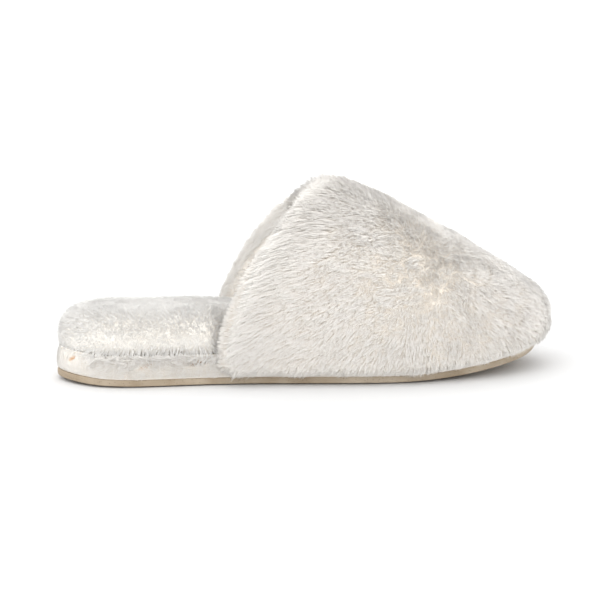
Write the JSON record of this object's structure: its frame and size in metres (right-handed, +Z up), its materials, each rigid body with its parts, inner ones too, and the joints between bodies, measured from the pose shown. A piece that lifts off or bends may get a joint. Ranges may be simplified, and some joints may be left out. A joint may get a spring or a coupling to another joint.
{
  "type": "fluffy house slipper",
  "caption": "Backless closed-toe house slipper with a long-pile faux-fur upper, padded fur footbed, plush sidewall and thin moulded sole.",
  "frame": {"origin": "on the ground under the middle of the slipper's box, at the flat tip of the central grip nub", "axes": "+X towards the toe, +Y towards the big-toe side, +Z up"},
  "size_m": [0.269, 0.1085, 0.1049],
  "materials": {
    "outsole_rubber": "matte moulded, warm beige",
    "plush": "short-pile plush, cream",
    "plush_lining": "short-pile plush, cream",
    "long_pile_fur": "long-pile faux fur, off-white",
    "midsole_foam": "closed-cell EVA foam",
    "memory_foam": "open-cell polyurethane foam",
    "interlining_foam": "laminated polyurethane foam sheet",
    "fibreboard": "pressed fibreboard",
    "cotton_tape": "woven cotton tape",
    "thread": "twisted polyester thread"
  },
  "bodies": {
    "root": {"outsole": "outsole_rubber", "sidewall_wrap": "plush", "midsole_foam": "midsole_foam", "insole_board": "fibreboard", "memory_foam": "memory_foam", "footbed_fur": "long_pile_fur", "vamp_lining": "plush_lining", "topline_stay_tape": "cotton_tape", "vamp_interlining": "interlining_foam", "toe_puff": "fibreboard", "vamp_fur": "long_pile_fur", "feather_seam_thread": "thread"}
  },
  "joints": []
}
